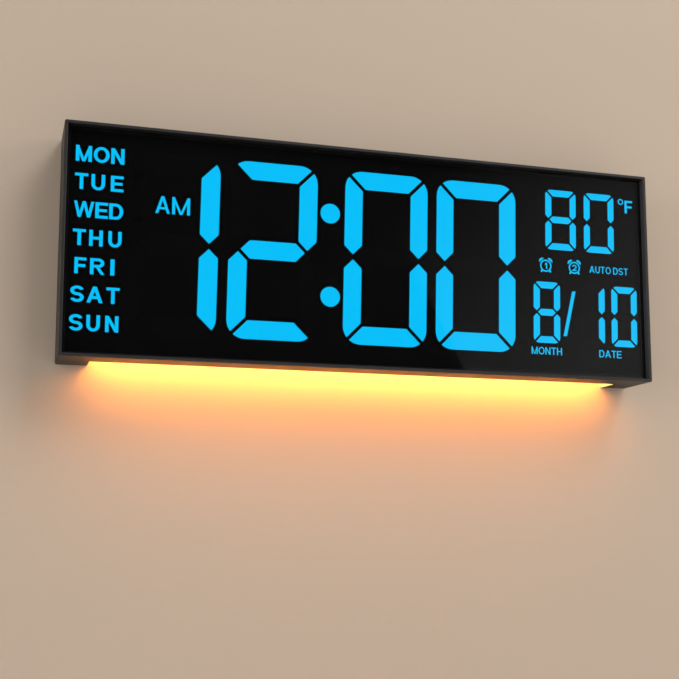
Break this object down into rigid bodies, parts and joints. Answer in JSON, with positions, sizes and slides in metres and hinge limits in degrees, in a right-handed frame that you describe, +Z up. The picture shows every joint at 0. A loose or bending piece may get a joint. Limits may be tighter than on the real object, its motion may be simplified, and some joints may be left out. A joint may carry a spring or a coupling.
{
  "type": "digital wall clock",
  "caption": "Wide flat digital wall clock with a recessed dark lens, blue segment display, and a night light bar in a recess along its underside.",
  "frame": {"origin": "middle of the flat back, on the plane of the wall", "axes": "+X to the right seen from the front, +Y into the wall, +Z up"},
  "size_m": [0.41, 0.038, 0.15],
  "materials": {
    "case_plastic": "fine spark texture, black",
    "leg_plastic": "black, lightly textured",
    "button_plastic": "satin dark grey",
    "lens_acrylic": "smoked, polished",
    "reflector_plastic": "black face",
    "lit_diffuser": "milky, lit blue from behind",
    "unlit_diffuser": "dark smoked diffuser, off",
    "film": "printed black film",
    "circuit_board": "green solder mask",
    "led_package": "white package",
    "chip_epoxy": "black epoxy",
    "connector_plastic": "black connector plastic",
    "screw_steel": "zinc plated",
    "contact_steel": "nickel plated",
    "capacitor_sleeve": "dark sleeve",
    "light_diffuser": "milky, lit warm",
    "lead_insulation": "red insulation"
  },
  "bodies": {
    "case": {"board_screws": "screw_steel", "buzzer": "chip_epoxy", "case_screws": "screw_steel", "cell_leads": "lead_insulation", "clock_crystal": "contact_steel", "coin_cell": "contact_steel", "colon_dots": "lit_diffuser", "control_chip": "chip_epoxy", "date_segments": "lit_diffuser", "date_slash": "lit_diffuser", "dc_jack": "connector_plastic", "display_board": "circuit_board", "display_leds": "led_package", "display_screws": "screw_steel", "driver_chips": "chip_epoxy", "front_frame": "case_plastic", "front_lens": "lens_acrylic", "hour_ones_segments": "lit_diffuser", "hour_tens_segments": "lit_diffuser", "ir_receiver": "chip_epoxy", "leg_pins": "screw_steel", "legend_film": "film", "light_bar_board": "circuit_board", "light_bar_diffuser": "light_diffuser", "light_bar_leads": "lead_insulation", "light_bar_leds": "led_package", "light_sensor": "chip_epoxy", "link_header": "connector_plastic", "link_socket": "connector_plastic", "main_board": "circuit_board", "minus_contact": "contact_steel", "minute_ones_segments": "lit_diffuser", "minute_tens_segments": "lit_diffuser", "month_segments": "lit_diffuser", "plus_contact": "contact_steel", "rear_cover": "case_plastic", "reflector_block": "reflector_plastic", "smoothing_capacitor": "capacitor_sleeve", "tact_switches": "connector_plastic", "temperature_segments": "lit_diffuser", "temperature_sensor": "chip_epoxy", "unlit_segments": "unlit_diffuser"},
    "left_leg": {"left_leg": "leg_plastic"},
    "right_leg": {"right_leg": "leg_plastic"},
    "battery_door": {"battery_door": "case_plastic", "door_screw": "screw_steel"},
    "set_button": {"set_button": "button_plastic"},
    "up_button": {"up_button": "button_plastic"},
    "down_button": {"down_button": "button_plastic"},
    "alarm_button": {"alarm_button": "button_plastic"},
    "light_button": {"light_button": "button_plastic"}
  },
  "joints": [
    {"name": "left_leg_hinge", "type": "hinge", "parent": "case", "child": "left_leg", "pos_m": [-0.15498, -0.0033, -0.0525], "axis": [-1, 0, 0], "range_deg": [0, 118]},
    {"name": "right_leg_hinge", "type": "hinge", "parent": "case", "child": "right_leg", "pos_m": [0.15498, -0.0033, -0.0525], "axis": [-1, 0, 0], "range_deg": [0, 118]},
    {"name": "set_button_press", "type": "slide", "parent": "case", "child": "set_button", "axis": [0, -1, 0], "range_m": [0, 0.0006], "stiffness_N_per_m": 1500},
    {"name": "up_button_press", "type": "slide", "parent": "case", "child": "up_button", "axis": [0, -1, 0], "range_m": [0, 0.0006], "stiffness_N_per_m": 1500},
    {"name": "down_button_press", "type": "slide", "parent": "case", "child": "down_button", "axis": [0, -1, 0], "range_m": [0, 0.0006], "stiffness_N_per_m": 1500},
    {"name": "alarm_button_press", "type": "slide", "parent": "case", "child": "alarm_button", "axis": [0, -1, 0], "range_m": [0, 0.0006], "stiffness_N_per_m": 1500},
    {"name": "light_button_press", "type": "slide", "parent": "case", "child": "light_button", "axis": [0, -1, 0], "range_m": [0, 0.0006], "stiffness_N_per_m": 1500},
    {"name": "battery_door_lift", "type": "slide", "parent": "case", "child": "battery_door", "axis": [0, 1, 0], "range_m": [0, 0.015]}
  ]
}
